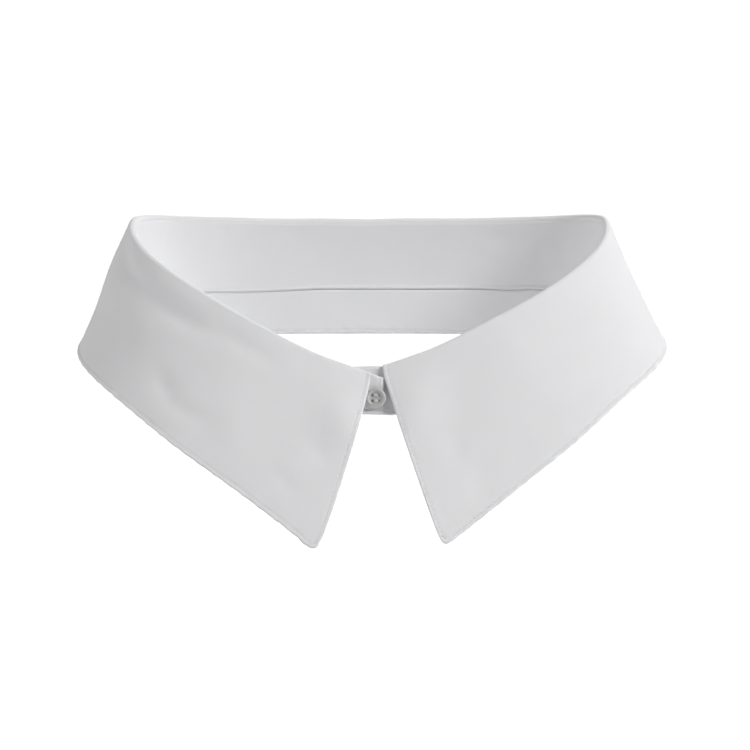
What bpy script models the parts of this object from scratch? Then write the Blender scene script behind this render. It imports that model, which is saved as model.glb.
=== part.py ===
"""A detachable shirt collar, fastened and filled out as round a neck.

The collar leaf rises from the seam inside the neck, rolls over at the fold and falls
outside to its style edge and two points. The stand is the band below the seam, whose
front ends overlap and are held by one small button.

+X is to the wearer's left, +Y to the wearer's back and +Z up. The origin is on the
neck's axis, level with the stand's lower edge at the centre back.
"""

import math
from collections import namedtuple

import bmesh
import bpy
from mathutils import Matrix, Vector

MM = 0.001

# Plan of the fold, seen from above.
RING_HALF_WIDTH = 76.4 * MM
RING_BACK_DEPTH = 38.0 * MM
RING_FRONT_DEPTH = 44.0 * MM
BACK_SQUARENESS = 2.6  # power of the superellipse: 2 is an ellipse, more is squarer
FRONT_SQUARENESS = 2.15
CLOSURE_SHIFT = 1.9 * MM  # how far the closure sits to the wearer's left

# Cloth.
SEAM_GAP = 0.3 * MM
LEAF_WALL = 1.2 * MM
STAND_WALL = 1.8 * MM
FOLD_RADIUS = 1.6 * MM  # to the middle of the leaf's wall
POINT_FOLD_RADIUS = 1.1 * MM  # the same at the leaf's front ends, pressed flatter
PRESSED_WAY = 80  # the fold tightens from here to the centre front
STAND_LEAN = math.radians(6)  # how far the stand's lower edge leans out
LAP_GAP = 0.5 * MM
LAP_STEP = STAND_WALL + LAP_GAP  # the under lap lies this far inside the over lap

# Button and buttonhole.
BUTTON_RADIUS = 3.3 * MM
BUTTON_THICKNESS = 1.7 * MM
BUTTON_DISH_DEPTH = 0.6 * MM
BUTTON_RIM = 0.9 * MM
BUTTON_ROUNDING = 0.45 * MM  # of the rim's edges
BUTTON_DISH_SLOPE = 0.3 * MM  # how far the dish's side leans in
THREAD_HOLE_RADIUS = 0.45 * MM
THREAD_HOLE_SPACING = 1.8 * MM
BUTTON_SIDES = 32
THREAD_HOLE_SIDES = 10
BUTTON_DROP = 0.60  # share of the stand's height from the seam down to the button
BUTTONHOLE_LENGTH = 7.5 * MM
BUTTONHOLE_HEIGHT = 0.8 * MM
BUTTONHOLE_END = 1.2 * MM  # how far the slot runs past the button's middle

# How finely the cloth is divided.
MAIN_STEP = 2.6  # of the way, between stations round the neck
CLOSE_FROM = 96.2  # from here to the front ends the stations are closer
CLOSE_STEP = 0.7
LEAST_STEP = 0.3
TANGENT_STEP = 1.2  # of the way, over which the fold's direction is taken
ROLL_ROWS = 5
FOLD_ROWS = 6
FALL_ROWS = 8
STAND_ROWS = 3
PLAN_STEPS = 1200
PLAN_END = math.radians(196)  # past the centre front, so that the laps lie on the plan

# The collar goes by the way along the fold from the centre back, 0, to the centre
# front, 100. Past 100 are the laps. Heights are above the origin.
Station = namedtuple("Station", "way fold_top neck_edge stand_height fall flare rake")
# way in hundredths, the next four in mm, the last two in degrees: flare is how far the
# fall stands off the neck, and rake how far it runs from the front as it falls.
RIGHT_SIDE = [  # the wearer's right
    Station(0, 38.5, 0.0, 15.0, 40.0, 21, 0),
    Station(25, 39.5, 0.0, 15.0, 40.0, 21, 0),
    Station(45, 40.5, -1.0, 15.0, 40.5, 20, 2),
    Station(52, 37.2, -3.0, 14.5, 41.0, 21, 18),
    Station(60, 30.2, -6.5, 14.5, 41.0, 21, 26),
    Station(70, 20.0, -11.5, 14.0, 41.5, 20, 28),
    Station(80, 9.2, -15.5, 14.0, 44.2, 20, 27.5),
    Station(90, -0.8, -18.5, 13.6, 48.8, 21, 23.5),
    Station(97, -5.2, -19.6, 11.4, 56.2, 23, 19.5),
    Station(99.7, -7.6, -19.8, 9.5, 59.2, 24, 18.5),
    Station(100.1, -7.8, -19.8, 12.4, 59.2, 24, 18.5),
    Station(101.3, -8.4, -19.8, 11.4, 59.2, 24, 18.5),
]
LEFT_SIDE = [  # the wearer's left
    Station(0, 38.5, 0.0, 15.0, 40.0, 21, 0),
    Station(25, 39.5, 0.0, 15.0, 40.0, 21, 0),
    Station(45, 40.5, -1.0, 15.0, 40.5, 23, 2),
    Station(52, 37.2, -3.0, 14.5, 41.0, 24.5, 18),
    Station(60, 29.6, -6.5, 14.5, 40.4, 24.5, 26),
    Station(70, 19.5, -11.5, 14.0, 41.2, 23, 28),
    Station(80, 10.1, -15.5, 14.0, 45.5, 21, 28),
    Station(90, 0.9, -18.5, 14.0, 50.5, 21, 25.5),
    Station(97, -3.9, -20.0, 13.3, 57.8, 23, 20.5),
    Station(98.8, -4.7, -20.2, 12.8, 60.5, 24, 19.5),
    Station(99.2, -4.8, -20.3, 15.0, 60.5, 24, 19.5),
    Station(105.5, -5.3, -20.3, 15.0, 60.5, 24, 19.5),
]
TABLES = {-1: RIGHT_SIDE, 1: LEFT_SIDE}

# Where the leaf ends and the laps end, as ways.
LEAF_FRONT = {-1: 99.7, 1: 98.8}
LAP_FRONT = {-1: 101.3, 1: 105.5}

CLOTH_WHITE = (0.80, 0.80, 0.81, 1)
BUTTON_WHITE = (0.72, 0.72, 0.70, 1)
CLOTH_ROUGHNESS = 0.85
BUTTON_ROUGHNESS = 0.35
SHARP_ANGLE = math.radians(40)


def plan_point(side, angle):
    """The fold's plan at an angle from the centre back, before the closure's shift."""
    back = math.cos(angle) > 0
    power = 2 / (BACK_SQUARENESS if back else FRONT_SQUARENESS)
    inside = LAP_STEP if side > 0 else 0
    depth = RING_BACK_DEPTH if back else RING_FRONT_DEPTH - inside
    across = math.copysign(abs(math.sin(angle)) ** power, math.sin(angle))
    along = math.copysign(abs(math.cos(angle)) ** power, math.cos(angle))
    return Vector((side * RING_HALF_WIDTH * across, depth * along, 0))


def measured_plan(side):
    """Points of one side's plan, each with its way from the centre back."""
    points = [plan_point(side, PLAN_END * k / PLAN_STEPS) for k in range(PLAN_STEPS + 1)]
    lengths = [0.0]
    for before, after in zip(points, points[1:]):
        lengths.append(lengths[-1] + (after - before).length)
    front = lengths[round(PLAN_STEPS * math.pi / PLAN_END)]
    ways = [100 * length / front for length in lengths]
    return list(zip(ways, points))


PLANS = {side: measured_plan(side) for side in (-1, 1)}


def plan_at(side, way):
    """The fold's plan at a way along it, with the closure's shift."""
    plan = PLANS[side]
    low, high = 0, len(plan) - 1
    while high - low > 1:
        middle = (low + high) // 2
        if plan[middle][0] > way:
            high = middle
        else:
            low = middle
    share = (way - plan[low][0]) / (plan[high][0] - plan[low][0])
    point = plan[low][1].lerp(plan[high][1], share)
    forward = min(max(way / 50 - 1, 0), 1)
    shift = CLOSURE_SHIFT * (1 - math.cos(math.pi * forward)) / 2
    return point + Vector((shift, 0, 0))


def table_value(side, column, way):
    """A column of the side's table at a way, on a smooth curve through its rows."""
    rows = TABLES[side]
    values = [getattr(row, column) for row in rows]
    ways = [row.way for row in rows]
    slopes = []
    for k in range(len(rows)):
        if k == 0:
            slopes.append(0.0)
        else:
            after = min(k + 1, len(rows) - 1)
            slopes.append((values[after] - values[k - 1]) / (ways[after] - ways[k - 1]))
    k = 0
    while k < len(rows) - 2 and way > ways[k + 1]:
        k += 1
    span = ways[k + 1] - ways[k]
    s = (way - ways[k]) / span
    start, end = values[k], values[k + 1]
    return (
        (1 + 2 * s) * (1 - s) ** 2 * start
        + s * (1 - s) ** 2 * span * slopes[k]
        + s * s * (3 - 2 * s) * end
        + s * s * (s - 1) * span * slopes[k + 1]
    )


def mean_fold_top(way):
    """The two sides' mean height of the fold, in mm, so that both laps lean alike."""
    mirrored = min(way, 200 - way)
    return (table_value(-1, "fold_top", mirrored) + table_value(1, "fold_top", mirrored)) / 2


def fold_radius(way):
    """The fold's radius, to the middle of the wall, at a way along it."""
    share = min(max((way - PRESSED_WAY) / (100 - PRESSED_WAY), 0), 1)
    return FOLD_RADIUS + (POINT_FOLD_RADIUS - FOLD_RADIUS) * share


Frame = namedtuple("Frame", "point outward forward tangent up")


def fold_frame(side, way):
    """The fold's highest line at a way: its point, and the cloth's own directions there."""
    step = TANGENT_STEP

    def top(at):
        return plan_at(side, at) + Vector((0, 0, table_value(side, "fold_top", at) * MM))

    if way < step:
        tangent = Vector((side, 0, 0))
    else:
        tangent = (top(way + step) - top(way - step)).normalized()
    flat = Vector((tangent.x, tangent.y, 0)).normalized()
    outward = Vector((flat.y, -flat.x, 0)) * -side
    up = (tangent.cross(outward) * -side).normalized()
    if up.z < 0:
        up = -up
    return Frame(top(way), outward, flat, tangent, up)


def stand_lines(side, way):
    """The middle of the stand's wall at its top and lower edges, and the wall's outward way."""
    frame = fold_frame(side, way)
    neck = table_value(side, "neck_edge", way) * MM
    seam = neck + table_value(side, "stand_height", way) * MM
    at = plan_at(side, way)

    def middle(height):
        drop = mean_fold_top(way) * MM - height
        return at + frame.outward * drop * math.tan(STAND_LEAN) + Vector((0, 0, height))

    return middle(seam), middle(neck), frame.outward


def leaf_path(side, way):
    """Middle points of the leaf's wall from the seam over the fold to the style edge.

    Each comes with the direction of the face that shows."""
    frame = fold_frame(side, way)
    seam, _, outward = stand_lines(side, way)
    start = seam + Vector((0, 0, SEAM_GAP))
    radius = fold_radius(way)
    turn = frame.point - frame.up * (radius + LEAF_WALL / 2) + outward * radius
    arc_start = turn - outward * radius
    path = []
    for k in range(ROLL_ROWS):
        path.append((start.lerp(arc_start, k / ROLL_ROWS), -outward))
    flare = math.radians(table_value(side, "flare", way))
    rake = math.radians(table_value(side, "rake", way))
    for k in range(FOLD_ROWS + 1):
        turned = (math.pi - flare) * k / FOLD_ROWS
        away = frame.up * math.sin(turned) - outward * math.cos(turned)
        path.append((turn + away * radius, away))
    plumb = Vector((0, 0, -math.cos(rake))) - frame.forward * math.sin(rake)
    down = outward * math.sin(flare) + plumb * math.cos(flare)
    facing = (frame.tangent.cross(down) * side).normalized()
    fall = table_value(side, "fall", way) * MM
    edge = path[-1][0]
    for k in range(1, FALL_ROWS + 1):
        path.append((edge + down * fall * k / FALL_ROWS, facing))
    return path


def leaf_ring(side, way):
    """One closed ring of the leaf's wall: the face that shows, then the hidden one."""
    path = leaf_path(side, way)
    half = LEAF_WALL / 2
    nose = (path[-1][0] - path[-2][0]).normalized() * half
    shown = [point + facing * half for point, facing in path]
    hidden = [point - facing * half for point, facing in path]
    return shown + [path[-1][0] + nose] + hidden[::-1]


def stand_ring(side, way):
    """One closed ring of the stand's wall."""
    seam, neck, outward = stand_lines(side, way)
    half = STAND_WALL / 2
    foot = neck + (seam - neck).normalized() * half
    inner = [seam.lerp(foot, k / STAND_ROWS) - outward * half for k in range(STAND_ROWS + 1)]
    outer = [foot.lerp(seam, k / STAND_ROWS) + outward * half for k in range(STAND_ROWS + 1)]
    return inner + [neck] + outer


def side_ways(side, end):
    """One side's stations from near the back to its front end, closer together in front."""
    ways = {row.way for row in TABLES[side] if 0 < row.way < end}
    ways |= {MAIN_STEP * k for k in range(1, round(CLOSE_FROM / MAIN_STEP))}
    close_steps = round((end - CLOSE_FROM) / CLOSE_STEP)
    ways |= {CLOSE_FROM + (end - CLOSE_FROM) * k / close_steps for k in range(close_steps + 1)}
    spread = []
    for way in sorted(ways):
        if not spread or way - spread[-1] > LEAST_STEP:
            spread.append(way)
    return spread


def all_stations(ends):
    """Stations from the wearer's right end round the back to the left end, as (side, way)."""
    right = [(-1, way) for way in reversed(side_ways(-1, ends[-1]))]
    left = [(1, way) for way in side_ways(1, ends[1])]
    return right + [(1, 0)] + left


def finish_object(name, mesh, color, roughness):
    """Adds a mesh as a named object with a material of its own."""
    material = bpy.data.materials.new(name)
    material.use_nodes = True
    shader = material.node_tree.nodes["Principled BSDF"]
    shader.inputs["Base Color"].default_value = color
    shader.inputs["Roughness"].default_value = roughness
    shader.inputs["Metallic"].default_value = 0
    mesh.materials.append(material)
    mesh.shade_smooth()
    mesh.set_sharp_from_angle(angle=SHARP_ANGLE)
    piece = bpy.data.objects.new(name, mesh)
    bpy.context.scene.collection.objects.link(piece)
    return piece


def wall_from_rings(name, rings):
    """A closed wall skinned over rings that run along it, with its ends closed in strips."""
    shell = bmesh.new()
    rows = [[shell.verts.new(point) for point in ring] for ring in rings]
    count = len(rows[0])
    for before, after in zip(rows, rows[1:]):
        for k in range(count):
            following = (k + 1) % count
            shell.faces.new((before[k], before[following], after[following], after[k]))
    for row in (rows[0], rows[-1]):
        low, high = 0, count - 1
        while high - low > 2:
            shell.faces.new((row[low], row[low + 1], row[high - 1], row[high]))
            low += 1
            high -= 1
        shell.faces.new((row[low], row[low + 1], row[high]))
    bmesh.ops.recalc_face_normals(shell, faces=shell.faces)
    mesh = bpy.data.meshes.new(name)
    shell.to_mesh(mesh)
    shell.free()
    return mesh


def make_leaf():
    stations = all_stations(LEAF_FRONT)
    rings = [leaf_ring(side, way) for side, way in stations]
    mesh = wall_from_rings("collar_leaf", rings)
    return finish_object("collar_leaf", mesh, CLOTH_WHITE, CLOTH_ROUGHNESS)


def closure_frame():
    """A matrix on the over lap's outer face at the button, with Z pointing out of the cloth."""
    seam, neck, outward = stand_lines(-1, 100)
    up = (seam - neck).normalized()
    across = up.cross(outward).normalized()
    middle = seam.lerp(neck, BUTTON_DROP) + outward * STAND_WALL / 2
    rotation = Matrix((across, up, across.cross(up))).transposed().to_4x4()
    return Matrix.Translation(middle) @ rotation


def add_cutter(name, mesh):
    """A mesh that only cuts, kept out of the render."""
    cutter = bpy.data.objects.new(name, mesh)
    cutter.hide_render = True
    cutter.display_type = "WIRE"
    bpy.context.scene.collection.objects.link(cutter)
    return cutter


def cut_with(piece, cutter):
    cut = piece.modifiers.new(cutter.name, "BOOLEAN")
    cut.operation = "DIFFERENCE"
    cut.object = cutter


def make_stand():
    stations = all_stations(LAP_FRONT)
    rings = [stand_ring(side, way) for side, way in stations]
    mesh = wall_from_rings("collar_stand", rings)
    stand = finish_object("collar_stand", mesh, CLOTH_WHITE, CLOTH_ROUGHNESS)

    slot = bmesh.new()
    bmesh.ops.create_cube(slot, size=1)
    depth = STAND_WALL + SEAM_GAP / 2 + STAND_WALL
    size = Matrix.Diagonal((BUTTONHOLE_LENGTH, BUTTONHOLE_HEIGHT, depth, 1))
    centre = Vector((BUTTONHOLE_END - BUTTONHOLE_LENGTH / 2, 0, STAND_WALL - depth / 2))
    bmesh.ops.transform(slot, matrix=closure_frame() @ Matrix.Translation(centre) @ size, verts=slot.verts)
    slot_mesh = bpy.data.meshes.new("buttonhole")
    slot.to_mesh(slot_mesh)
    slot.free()
    cut_with(stand, add_cutter("buttonhole", slot_mesh))
    return stand


def make_button():
    """A turned disc with a raised rim and four thread holes, just off the over lap."""
    half = BUTTON_THICKNESS / 2
    dish = BUTTON_THICKNESS - BUTTON_DISH_DEPTH
    inner = BUTTON_RADIUS - BUTTON_RIM
    profile = [  # radius and height, from the middle of the back round to the dish
        (0, 0),
        (BUTTON_RADIUS - BUTTON_ROUNDING, 0),
        (BUTTON_RADIUS, half),
        (BUTTON_RADIUS - BUTTON_ROUNDING, BUTTON_THICKNESS),
        (inner, BUTTON_THICKNESS),
        (inner - BUTTON_DISH_SLOPE, dish),
        (0, dish),
    ]
    turned = bmesh.new()
    rings = []
    for radius, height in profile:
        if radius == 0:
            rings.append([turned.verts.new((0, 0, height))])
            continue
        ring = []
        for k in range(BUTTON_SIDES):
            turn = 2 * math.pi * k / BUTTON_SIDES
            ring.append(turned.verts.new((radius * math.cos(turn), radius * math.sin(turn), height)))
        rings.append(ring)
    for before, after in zip(rings, rings[1:]):
        for k in range(BUTTON_SIDES):
            following = (k + 1) % BUTTON_SIDES
            corners = [before[k % len(before)], before[following % len(before)]]
            corners += [after[following % len(after)], after[k % len(after)]]
            turned.faces.new(list(dict.fromkeys(corners)))
    bmesh.ops.recalc_face_normals(turned, faces=turned.faces)
    place = closure_frame() @ Matrix.Translation((0, 0, SEAM_GAP))
    bmesh.ops.transform(turned, matrix=place, verts=turned.verts)
    mesh = bpy.data.meshes.new("button")
    turned.to_mesh(mesh)
    turned.free()
    button = finish_object("button", mesh, BUTTON_WHITE, BUTTON_ROUGHNESS)

    drill = bmesh.new()
    for across in (-1, 1):
        for up in (-1, 1):
            spot = Vector((across, up, 0)) * THREAD_HOLE_SPACING / 2 + Vector((0, 0, half))
            bmesh.ops.create_cone(
                drill,
                cap_ends=True,
                segments=THREAD_HOLE_SIDES,
                radius1=THREAD_HOLE_RADIUS,
                radius2=THREAD_HOLE_RADIUS,
                depth=2 * BUTTON_THICKNESS,
                matrix=place @ Matrix.Translation(spot),
            )
    drill_mesh = bpy.data.meshes.new("thread_holes")
    drill.to_mesh(drill_mesh)
    drill.free()
    cut_with(button, add_cutter("thread_holes", drill_mesh))
    return button


for old in list(bpy.data.objects):
    bpy.data.objects.remove(old, do_unlink=True)

make_leaf()
make_stand()
make_button()
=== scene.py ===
import math
import random
from collections import namedtuple

import bmesh
import bpy
import numpy as np
from mathutils import Matrix, Vector


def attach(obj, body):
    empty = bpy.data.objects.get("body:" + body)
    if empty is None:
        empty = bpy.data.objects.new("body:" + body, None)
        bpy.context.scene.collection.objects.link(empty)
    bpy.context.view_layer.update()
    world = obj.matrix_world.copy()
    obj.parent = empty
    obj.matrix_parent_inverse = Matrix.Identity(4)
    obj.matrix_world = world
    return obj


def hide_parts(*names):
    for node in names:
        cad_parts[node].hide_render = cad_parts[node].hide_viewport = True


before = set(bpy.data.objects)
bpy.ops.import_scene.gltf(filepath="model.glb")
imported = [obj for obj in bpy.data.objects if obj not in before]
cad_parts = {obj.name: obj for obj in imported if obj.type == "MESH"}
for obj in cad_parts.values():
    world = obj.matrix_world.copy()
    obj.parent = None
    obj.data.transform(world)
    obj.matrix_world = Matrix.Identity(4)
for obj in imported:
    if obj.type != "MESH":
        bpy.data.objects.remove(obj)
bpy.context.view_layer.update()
print("packed collar loaded")

mm = 0.001

# The collar's own form, the same as its solids: +X is the wearer's left, +Y the back.
collarForm = {
    "halfWidth": 76.4 * mm,
    "backDepth": 38.0 * mm,
    "frontDepth": 44.0 * mm,
    "backSquareness": 2.6,
    "frontSquareness": 2.15,
    "closureShift": 1.9 * mm,
    "seamGap": 0.3 * mm,  # between the solids; the cloth itself is joined
    "tuck": 0.9 * mm,  # of the leaf's lower edge into the band
    "leafWall": 1.2 * mm,
    "standWall": 1.8 * mm,
    "foldRadius": 1.6 * mm,
    "pointFoldRadius": 1.1 * mm,
    "pressedWay": 80,
    "creaseWays": [0, 30, 43, 50, 70, 100],  # where the fold is pressed to the radii below
    "creaseRadii": [1.5 * mm, 1.4 * mm, 0.9 * mm, 0.75 * mm, 0.75 * mm, 0.7 * mm],
    "standLean": math.radians(6),
    "lapGap": 0.5 * mm,
    "planSteps": 1200,
    "planEnd": math.radians(196),
    "tangentStep": 1.2,
}

# way: hundredths from centre back to centre front; then mm, mm, mm, mm, degrees, degrees
Station = namedtuple("Station", "way foldTop neckEdge standHeight fall flare rake")
rightSide = [
    Station(0, 38.9, -0.9, 15.3, 40.0, 21, 0),
    Station(9, 39.15, -0.9, 15.3, 40.0, 21, 0),
    Station(15, 39.1, -0.9, 14.8, 40.0, 21, 0),
    Station(21, 39.45, -0.9, 14.5, 40.0, 21, 0),
    Station(30, 40.1, -0.9, 14.6, 40.0, 21, 0),
    Station(45, 41.0, -1.6, 14.8, 41.1, 20.6, 8.5),
    Station(52, 37.6, -3.3, 14.5, 41.0, 21, 18),
    Station(60, 30.4, -6.6, 14.5, 41.2, 21, 26),
    Station(70, 20.3, -11.5, 14.0, 42.5, 20, 28),
    Station(80, 9.8, -15.5, 14.0, 46.0, 20, 27.5),
    Station(90, -0.15, -18.5, 13.6, 51.1, 21, 23.5),
    Station(97, -5.0, -19.6, 11.4, 58.6, 23, 19.5),
    Station(98.2, -5.9, -19.7, 12.6, 60.2, 23.5, 19),
    Station(99.7, -7.1, -19.8, 12.4, 61.2, 24, 18.5),
    Station(101.3, -8.2, -19.8, 11.3, 61.2, 24, 18.5),
]
leftSide = [
    Station(0, 38.9, -0.9, 15.3, 40.0, 21, 0),
    Station(6, 39.2, -0.9, 15.3, 40.0, 21, 0),
    Station(13, 39.2, -0.95, 15.4, 40.0, 21, 0),
    Station(19, 39.4, -0.95, 15.55, 40.0, 21, 0),
    Station(24, 39.7, -0.9, 15.3, 40.0, 21, 0),
    Station(29, 40.1, -0.9, 15.7, 40.0, 21, 0),
    Station(45, 41.3, -1.5, 15.2, 41.1, 22.8, 8.5),
    Station(52, 37.7, -3.2, 14.6, 40.9, 23.8, 18),
    Station(60, 29.9, -6.6, 14.6, 40.3, 23.8, 26),
    Station(70, 19.8, -11.5, 14.0, 41.5, 23, 28),
    Station(80, 10.6, -15.5, 14.0, 46.7, 21, 28),
    Station(90, 1.5, -18.5, 14.0, 52.9, 21, 25.5),
    Station(97, -3.4, -20.7, 14.4, 60.9, 23, 20.5),
    Station(98.8, -4.9, -20.6, 15.6, 62.5, 24, 19.5),
    Station(105.5, -6.2, -20.3, 15.0, 62.5, 24, 19.5),
]
sideTables = {-1: rightSide, 1: leftSide}
leafFront = {-1: 99.7, 1: 98.8}  # ways where the leaf ends
lapFront = {-1: 101.3, 1: 105.5}  # ways where the laps end


def planPoint(side, angle):
    back = math.cos(angle) > 0
    power = 2 / (collarForm["backSquareness"] if back else collarForm["frontSquareness"])
    inside = collarForm["standWall"] + collarForm["lapGap"] if side > 0 else 0
    depth = collarForm["backDepth"] if back else collarForm["frontDepth"] - inside
    across = math.copysign(abs(math.sin(angle)) ** power, math.sin(angle))
    along = math.copysign(abs(math.cos(angle)) ** power, math.cos(angle))
    return Vector((side * collarForm["halfWidth"] * across, depth * along, 0))


def measuredPlan(side):
    steps = collarForm["planSteps"]
    points = [planPoint(side, collarForm["planEnd"] * k / steps) for k in range(steps + 1)]
    lengths = [0.0]
    for before, after in zip(points, points[1:]):
        lengths.append(lengths[-1] + (after - before).length)
    front = lengths[round(steps * math.pi / collarForm["planEnd"])]
    return np.array([100 * length / front for length in lengths]), np.array(points), front


plans = {side: measuredPlan(side) for side in (-1, 1)}
wayLength = {side: plans[side][2] / 100 for side in plans}  # metres along the fold per way


def planAt(side, way):
    ways, points, _ = plans[side]
    x = np.interp(way, ways, points[:, 0])
    y = np.interp(way, ways, points[:, 1])
    forward = min(max(way / 50 - 1, 0), 1)
    shift = collarForm["closureShift"] * (1 - math.cos(math.pi * forward)) / 2
    return Vector((x + shift, y, 0))


def tableValue(side, column, way):
    # a smooth curve through one column of the side's table
    rows = sideTables[side]
    values = [getattr(row, column) for row in rows]
    ways = [row.way for row in rows]
    slopes = [0.0]
    for k in range(1, len(rows)):
        after = min(k + 1, len(rows) - 1)
        slopes.append((values[after] - values[k - 1]) / (ways[after] - ways[k - 1]))
    k = 0
    while k < len(rows) - 2 and way > ways[k + 1]:
        k += 1
    span = ways[k + 1] - ways[k]
    s = (way - ways[k]) / span
    return (
        (1 + 2 * s) * (1 - s) ** 2 * values[k]
        + s * (1 - s) ** 2 * span * slopes[k]
        + s * s * (3 - 2 * s) * values[k + 1]
        + s * s * (s - 1) * span * slopes[k + 1]
    )


def meanFoldTop(way):
    mirrored = min(way, 200 - way)
    return (tableValue(-1, "foldTop", mirrored) + tableValue(1, "foldTop", mirrored)) / 2


FoldFrame = namedtuple("FoldFrame", "point outward forward tangent up")


def foldFrame(side, way):
    step = collarForm["tangentStep"]

    def top(at):
        return planAt(side, at) + Vector((0, 0, tableValue(side, "foldTop", at) * mm))

    if way < step:
        tangent = Vector((side, 0, 0))
    else:
        tangent = (top(way + step) - top(way - step)).normalized()
    flat = Vector((tangent.x, tangent.y, 0)).normalized()
    outward = Vector((flat.y, -flat.x, 0)) * -side
    up = (tangent.cross(outward) * -side).normalized()
    if up.z < 0:
        up = -up
    return FoldFrame(top(way), outward, flat, tangent, up)


def standLines(side, way):
    # middle of the band's wall at the seam and at the neck edge, and its outward way
    around = foldFrame(side, way)
    neck = tableValue(side, "neckEdge", way) * mm
    seam = neck + tableValue(side, "standHeight", way) * mm
    at = planAt(side, way)

    def middle(height):
        drop = meanFoldTop(way) * mm - height
        return at + around.outward * drop * math.tan(collarForm["standLean"]) + Vector((0, 0, height))

    return middle(seam), middle(neck), around.outward


LeafColumn = namedtuple("LeafColumn", "start rollTop turn radius up outward flare down facing fall")


def leafColumn(side, way):
    around = foldFrame(side, way)
    seam, neck, outward = standLines(side, way)
    start = seam + (neck - seam).normalized() * collarForm["tuck"]
    pressed = collarForm["pressedWay"]
    share = min(max((way - pressed) / (100 - pressed), 0), 1)
    loose = collarForm["foldRadius"] + (collarForm["pointFoldRadius"] - collarForm["foldRadius"]) * share
    radius = float(np.interp(way, collarForm["creaseWays"], collarForm["creaseRadii"]))
    pressedIn = loose - radius  # the crest keeps its height, the fall its place
    turn = around.point - around.up * (radius + collarForm["leafWall"] / 2)
    turn += outward * (radius + 2 * pressedIn * (1 - share))
    flare = math.radians(tableValue(side, "flare", way))
    rake = math.radians(tableValue(side, "rake", way))
    plumb = Vector((0, 0, -math.cos(rake))) - around.forward * math.sin(rake)
    down = outward * math.sin(flare) + plumb * math.cos(flare)
    facing = (around.tangent.cross(down) * side).normalized()
    fall = tableValue(side, "fall", way) * mm + pressedIn * (1 - math.sin(flare)) / math.cos(flare)
    return LeafColumn(
        start, turn - outward * radius, turn, radius, around.up, outward, flare, down, facing, fall
    )


def leafPoint(column, zone, share):
    # middle of the leaf's wall, and the way its shown face looks
    if zone == "roll":
        return column.start.lerp(column.rollTop, share), -column.outward
    if zone == "fold":
        turned = (math.pi - column.flare) * share
        away = column.up * math.sin(turned) - column.outward * math.cos(turned)
        blend = share ** 4
        return column.turn + away * column.radius, (away * (1 - blend) + column.facing * blend).normalized()
    end = math.pi - column.flare
    edge = column.turn + (column.up * math.sin(end) - column.outward * math.cos(end)) * column.radius
    return edge + column.down * column.fall * share, column.facing


# Shared helpers for the cloth shells.
def smoothStep(x):
    x = np.clip(x, 0, 1)
    return x * x * (3 - 2 * x)


def softHump(away, width):
    return np.exp(-((away / width) ** 2))


def roundedEdge(away, radius):
    # a quarter circle, from 0 at the edge to 1 a radius further in
    return np.sqrt(np.clip(1 - (1 - np.clip(away / radius, 0, 1)) ** 2, 0, 1))


def distanceToLine(points, line):
    # each point's distance to a polyline, and how far along the line that is
    shape = points.shape[:-1]
    flat = points.reshape(-1, 3)
    start, run = line[:-1], line[1:] - line[:-1]
    length = np.linalg.norm(run, axis=1)
    before = np.concatenate([[0], np.cumsum(length)[:-1]])
    nearest = np.full(len(flat), np.inf)
    along = np.zeros(len(flat))
    for k in range(len(start)):
        offset = flat - start[k]
        share = np.clip(offset @ run[k] / length[k] ** 2, 0, 1)
        away = np.linalg.norm(offset - share[:, None] * run[k], axis=1)
        closer = away < nearest
        nearest[closer] = away[closer]
        along[closer] = before[k] + share[closer] * length[k]
    return nearest.reshape(shape), along.reshape(shape)


def addPlaces(mesh, places):
    # where each point lies on its cloth or along its thread, for the materials
    attribute = mesh.attributes.new("clothPlace", "FLOAT_VECTOR", "POINT")
    attribute.data.foreach_set("vector", np.asarray(places, np.float32).ravel())


def newMesh(name, points, faces, places):
    mesh = bpy.data.meshes.new(name)
    mesh.from_pydata(points, [], faces)
    addPlaces(mesh, places)
    mesh.shade_smooth()
    return mesh


def meshFrom(shape, name):
    mesh = bpy.data.meshes.new(name)
    shape.to_mesh(mesh)
    shape.free()
    return mesh


def shellMesh(name, upper, lower, place):
    # a closed shell: the two faces of the cloth share the points round their rim
    columns, rows = upper.shape[:2]
    top = np.arange(columns * rows).reshape(columns, rows)
    inner = np.zeros((columns, rows), bool)
    inner[1:-1, 1:-1] = True
    under = top.copy()
    under[inner] = columns * rows + np.arange(inner.sum())
    points = np.concatenate([upper.reshape(-1, 3), lower[inner]])
    places = np.concatenate([place.reshape(-1, 3), place[inner]])
    faces = []
    for grid, turn in ((top, 1), (under, -1)):
        corners = [grid[:-1, :-1], grid[1:, :-1], grid[1:, 1:], grid[:-1, 1:]]
        faces += np.stack(corners[::turn], axis=-1).reshape(-1, 4).tolist()
    mesh = newMesh(name, points.tolist(), faces, places)
    facing = bmesh.new()
    facing.from_mesh(mesh)
    bmesh.ops.recalc_face_normals(facing, faces=facing.faces)
    facing.to_mesh(mesh)
    facing.free()
    return mesh


def linkObject(name, data):
    made = bpy.data.objects.new(name, data)
    bpy.context.scene.collection.objects.link(made)
    return made


def linkPiece(name, mesh, material):
    piece = linkObject(name, mesh)
    piece.data.materials.append(material)
    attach(piece, "root")
    return piece


# Node groups used by several materials.
def newGroup(name, inputs, outputs):
    group = bpy.data.node_groups.new(name, "ShaderNodeTree")
    for label, kind, value in inputs:
        socket = group.interface.new_socket(label, in_out="INPUT", socket_type=kind)
        if value is not None:
            socket.default_value = value
    for label, kind in outputs:
        group.interface.new_socket(label, in_out="OUTPUT", socket_type=kind)
    return group, group.nodes.new("NodeGroupInput"), group.nodes.new("NodeGroupOutput")


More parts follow.
